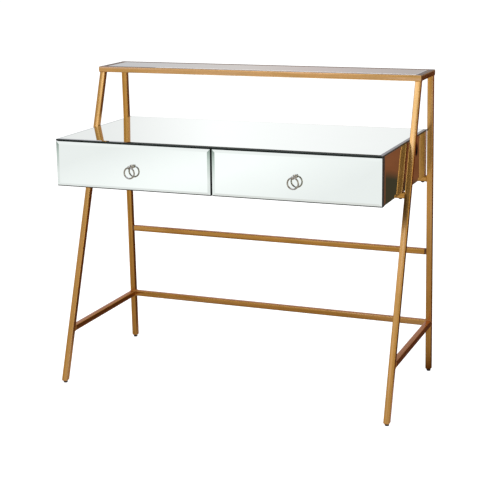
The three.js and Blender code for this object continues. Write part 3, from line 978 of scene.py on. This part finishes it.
def make_side_card():
    """The brown side of the room that the right side mirror reflects.

    A dark patch lies low in it, and a small black spot shows above that.
    """
    material, tree, glow, place = glowing_material("brown_card")
    mottle = noise(tree, piece_coords(tree, (3, 3, 5), shifted=False), detail=4, roughness=0.6)
    brown = ramp(tree, mottle, [(0.3, (0.175, 0.060, 0.023)), (0.7, (0.25, 0.088, 0.036))])
    dark_patch = distance_from(tree, place, (0.98, CARD_Y, 0.16), (0.9, 0, 1))
    wall = mix(tree, faded(tree, dark_patch, 0.175, 0.215, 1.0, 0.0), brown, (0.05, 0.041, 0.023))
    black_spot = distance_from(tree, place, (0.859, CARD_Y, 0.466), (5, 0, 1))
    black = faded(tree, black_spot, 0.024, 0.034, 1.0, 0.0)
    tree.links.new(mix(tree, black, wall, (0.004, 0.004, 0.004)), glow.inputs["Color"])
    left, right = CARD_X
    outline = [(left, 0), (right, 0), (right, CARD_TOP), (left, CARD_TOP)]
    corners = [(x, CARD_Y, z) for x, z in outline]
    stage_sheet("brown_card", corners, material, **REFLECTED_ONLY)


def make_world():
    """White to the camera, and a studio to everything else.

    Behind the table the studio is dusky, with a bright patch that the top mirror shows, a band
    under it that the shelf's mirror shows, and pale sides. Ahead it is white low down, with a dark
    gap. `height` runs from 0 at 30 degrees down to 1 straight up, and `across` from 0 at the left
    to 1 at the right.
    """
    world = bpy.data.worlds.new("studio")
    bpy.context.scene.world = world
    world.use_nodes = True
    tree = world.node_tree
    tree.nodes.clear()
    direction = add_node(tree, "ShaderNodeTexCoord").outputs["Generated"]
    split = add_node(tree, "ShaderNodeSeparateXYZ", {0: direction})
    height = map_range(tree, split.outputs["Z"], -0.5, 1.0)
    across = map_range(tree, split.outputs["X"], -1.0, 1.0)
    dim = (0.28, 0.27, 0.265)
    dusk = (0.58, 0.56, 0.60)
    soft = (0.66, 0.66, 0.67)
    pale = (0.86, 0.87, 0.87)
    dark = (0.22, 0.20, 0.18)
    patch_colour = ramp(
        tree,
        across,
        [(0.22, dim), (0.24, 0.86), (0.275, 0.90), (0.31, 1.09), (0.385, 0.94), (0.42, dim)],
    )
    in_patch = ramp(tree, height, [(0.412, 0.0), (0.426, 1.0), (0.456, 1.0), (0.485, 0.0)])
    below = ramp(
        tree,
        height,
        [(0.405, (0.62, 0.60, 0.64)), (0.44, dusk), (0.57, dusk), (0.66, soft)],
    )
    lowest = ramp(
        tree,
        across,
        [
            (0.274, (0.61, 0.62, 0.63)),
            (0.317, (0.70, 0.67, 0.64)),
            (0.344, (0.64, 0.58, 0.56)),
            (0.378, (0.53, 0.49, 0.47)),
        ],
    )
    below = mix(tree, ramp(tree, height, [(0.412, 1.0), (0.426, 0.0)]), below, lowest)
    sides = ramp(tree, across, [(0.12, 1.0), (0.20, 0.0), (0.50, 0.0), (0.62, 1.0)])
    behind = mix(tree, sides, mix(tree, in_patch, below, patch_colour), pale)
    lit = ramp(tree, height, [(0.36, 1.0), (0.42, 0.86), (0.66, soft)])
    gap = ramp(tree, across, [(0.52, 0.0), (0.56, 1.0), (0.74, 1.0), (0.80, 0.0)])
    ahead = mix(tree, gap, lit, dark)
    rear = map_range(tree, split.outputs["Y"], 0.2, 0.6)
    shade = mix(tree, rear, ahead, behind)
    studio = add_node(tree, "ShaderNodeBackground", {"Color": shade, "Strength": 1.0})
    white = add_node(tree, "ShaderNodeBackground", {"Color": (1, 1, 1, 1), "Strength": 1.05})
    path = add_node(tree, "ShaderNodeLightPath")
    chosen = add_node(
        tree,
        "ShaderNodeMixShader",
        {0: path.outputs["Is Camera Ray"], 1: studio.outputs[0], 2: white.outputs[0]},
    )
    add_node(tree, "ShaderNodeOutputWorld", {"Surface": chosen.outputs[0]})


def soft_light(name, place, target, size, power, colour):
    """A soft box at a place, turned to its target."""
    data = bpy.data.lights.new(name, "AREA")
    data.shape = "RECTANGLE"
    data.size, data.size_y = size
    data.energy = power
    data.color = colour
    light = bpy.data.objects.new(name, data)
    light.location = place
    light.rotation_mode = "QUATERNION"
    aim = Vector(target) - Vector(place)
    light.rotation_quaternion = aim.to_track_quat("-Z", "Y")
    bpy.context.scene.collection.objects.link(light)


# Name, place, target, width and height in metres, power in watts, and colour.
LIGHTS = [
    ("overhead", (0, -0.3, 3.4), (0, 0, 0), (3.0, 3.0), 60, (1, 1, 1)),
    ("front_left", (-0.75, -2.3, 2.25), (-0.2, 0, 0.85), (2.0, 1.0), 10, (0.98, 1.30, 2.60)),
    ("front_low", (-0.5, -2.6, 1.28), (0.1, 0, 0.4), (1.8, 0.85), 1.9, (1.0, 1.2, 2.2)),
    ("front_right", (2.3, -1.7, 1.35), (0.2, 0, 0.6), (1.3, 1.3), 9, (1, 1, 1)),
]


def make_lights():
    for light in LIGHTS:
        soft_light(*light)


def use_plain_colours():
    bpy.context.scene.view_settings.view_transform = "Standard"
    bpy.context.scene.view_settings.look = "None"


make_camera()
make_frame()
make_mirrors()
finish_carried()
make_pulls()
make_glides()
make_floor()
make_reflected_floor()
make_side_card()
make_world()
make_lights()
use_plain_colours()
